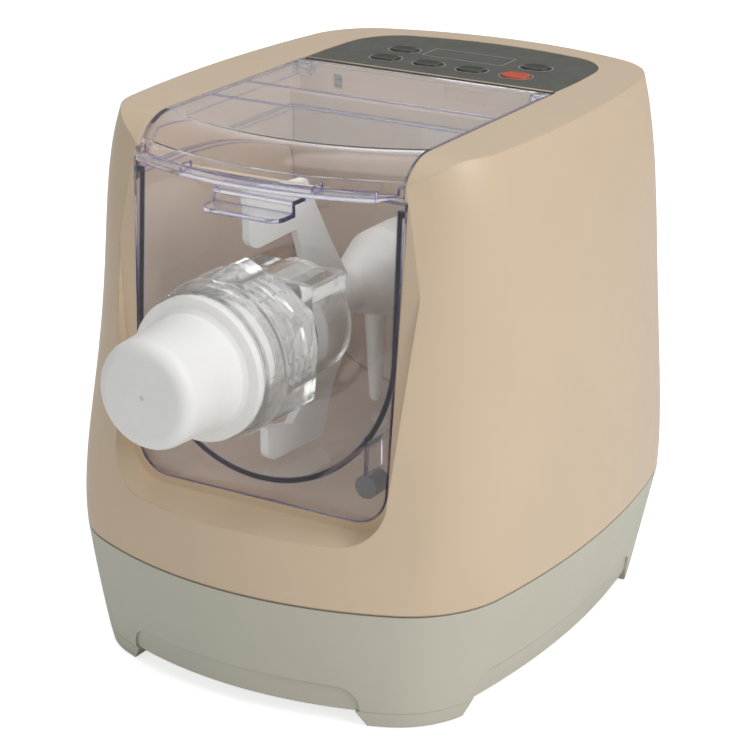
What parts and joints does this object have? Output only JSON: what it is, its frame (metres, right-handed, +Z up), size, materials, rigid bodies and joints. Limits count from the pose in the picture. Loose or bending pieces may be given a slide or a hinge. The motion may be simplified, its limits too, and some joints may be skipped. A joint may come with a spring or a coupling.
{
  "type": "electric pasta maker",
  "caption": "Countertop electric pasta maker: beige body on an off-white base, clear lid and slide-out mixing chamber, lobed ring nut with a white nozzle cap, and a dark control panel.",
  "frame": {"origin": "on the table, under the centre of the whole machine's outline (nozzle tip to rear)", "axes": "+Z up, -Y the way the nozzle and the chamber point, +X to the right hand of someone who looks along +Y at the front"},
  "size_m": [0.2558, 0.357, 0.2816],
  "materials": {
    "shell_beige": "satin warm beige moulding",
    "base_white": "satin off-white moulding",
    "bay_brown": "fine matt brown moulding",
    "clear": "clear polycarbonate",
    "part_white": "smooth white food-safe plastic",
    "cap_white": "translucent milky white plastic",
    "panel_dark": "dark olive grey satin",
    "display_black": "smoked gloss",
    "button_dark": "dark satin",
    "button_red": "orange red gloss",
    "rubber": "matt black",
    "seal": "translucent grey silicone",
    "inner_grey": "plain grey moulding",
    "gear_nylon": "natural nylon",
    "gearbox_metal": "die cast",
    "steel": "bright ground",
    "motor_steel": "zinc grey",
    "bronze": "sintered bronze",
    "board_green": "solder mask",
    "component_black": "moulded black"
  },
  "bodies": {
    "casing": {"upper_housing": "shell_beige", "base_shell": "base_white", "bottom_plate": "inner_grey", "corner_feet": "base_white", "rubber_pads": "rubber", "foot_screws": "steel", "chamber_bay": "bay_brown", "lid_hinge_pins": "steel", "control_panel": "panel_dark", "display_window": "display_black", "control_board": "board_green", "button_switches": "component_black", "display_module": "component_black", "gearbox_case": "gearbox_metal", "gearbox_cover": "gearbox_metal", "gearbox_screws": "steel", "front_bearing": "bronze", "rear_bearing": "bronze", "bay_shaft_seal": "seal", "idler_axle": "steel", "motor_can": "motor_steel", "motor_cradle": "inner_grey", "supply_board": "board_green", "board_posts": "inner_grey", "supply_components": "component_black", "lid_switch": "component_black", "cord_inlet": "rubber"},
    "lid": {"lid": "clear"},
    "chamber": {"mixing_chamber": "clear", "chamber_shaft_seal": "seal", "chamber_bumpers": "rubber", "extrusion_barrel": "clear"},
    "stirrer": {"stirring_bar": "part_white", "auger_screw": "part_white"},
    "die": {"die_disc": "part_white"},
    "nut": {"ring_nut": "clear"},
    "cap": {"nozzle_cap": "cap_white"},
    "drive": {"drive_shaft": "steel", "output_gear": "gear_nylon", "drive_coupler": "part_white"},
    "idler": {"idler_gear": "gear_nylon"},
    "rotor": {"motor_shaft": "steel", "motor_pinion": "steel", "cooling_fan": "component_black"},
    "button_menu": {"button_menu": "button_dark"},
    "button_minus": {"button_minus": "button_dark"},
    "button_plus": {"button_plus": "button_dark"},
    "button_start": {"button_start": "button_red"},
    "button_timer": {"button_timer": "button_dark"},
    "button_weigh": {"button_weigh": "button_dark"}
  },
  "joints": [
    {"name": "lid_hinge", "type": "hinge", "parent": "casing", "child": "lid", "pos_m": [0, 0.069, 0.2758], "axis": [-1, 0, 0], "range_deg": [0, 95]},
    {"name": "chamber_slide", "type": "slide", "parent": "casing", "child": "chamber", "axis": [0, -1, 0], "range_m": [0, 0.15]},
    {"name": "stirrer_spin", "type": "hinge", "parent": "chamber", "child": "stirrer", "pos_m": [0, 0, 0.185], "axis": [0, 1, 0], "continuous": true},
    {"name": "die_slide", "type": "slide", "parent": "chamber", "child": "die", "axis": [0, -1, 0], "range_m": [0, 0.045]},
    {"name": "nut_turn", "type": "hinge", "parent": "die", "child": "nut", "pos_m": [0, -0.11, 0.185], "axis": [0, -1, 0], "range_deg": [0, 90]},
    {"name": "cap_slide", "type": "slide", "parent": "nut", "child": "cap", "axis": [0, -1, 0], "range_m": [0, 0.05]},
    {"name": "shaft_spin", "type": "hinge", "parent": "casing", "child": "drive", "pos_m": [0, 0.09, 0.185], "axis": [0, 1, 0], "continuous": true},
    {"name": "idler_spin", "type": "hinge", "parent": "casing", "child": "idler", "pos_m": [0, 0.09, 0.14], "axis": [0, 1, 0], "continuous": true},
    {"name": "rotor_spin", "type": "hinge", "parent": "casing", "child": "rotor", "pos_m": [0, 0.09, 0.1125], "axis": [0, 1, 0], "continuous": true},
    {"name": "button_menu_press", "type": "slide", "parent": "casing", "child": "button_menu", "axis": [0, 0, -1], "range_m": [0, 0.001], "stiffness_N_per_m": 600, "springref_m": -0.0006},
    {"name": "button_minus_press", "type": "slide", "parent": "casing", "child": "button_minus", "axis": [0, 0, -1], "range_m": [0, 0.001], "stiffness_N_per_m": 600, "springref_m": -0.0006},
    {"name": "button_plus_press", "type": "slide", "parent": "casing", "child": "button_plus", "axis": [0, 0, -1], "range_m": [0, 0.001], "stiffness_N_per_m": 600, "springref_m": -0.0006},
    {"name": "button_start_press", "type": "slide", "parent": "casing", "child": "button_start", "axis": [0, 0, -1], "range_m": [0, 0.001], "stiffness_N_per_m": 600, "springref_m": -0.0006},
    {"name": "button_timer_press", "type": "slide", "parent": "casing", "child": "button_timer", "axis": [0, 0, -1], "range_m": [0, 0.001], "stiffness_N_per_m": 600, "springref_m": -0.0006},
    {"name": "button_weigh_press", "type": "slide", "parent": "casing", "child": "button_weigh", "axis": [0, 0, -1], "range_m": [0, 0.001], "stiffness_N_per_m": 600, "springref_m": -0.0006}
  ],
  "couplings": [
    {"joint": "idler_spin", "follows": "shaft_spin", "ratio": -4},
    {"joint": "rotor_spin", "follows": "shaft_spin", "ratio": 16},
    {"joint": "stirrer_spin", "follows": "shaft_spin", "ratio": 1}
  ]
}
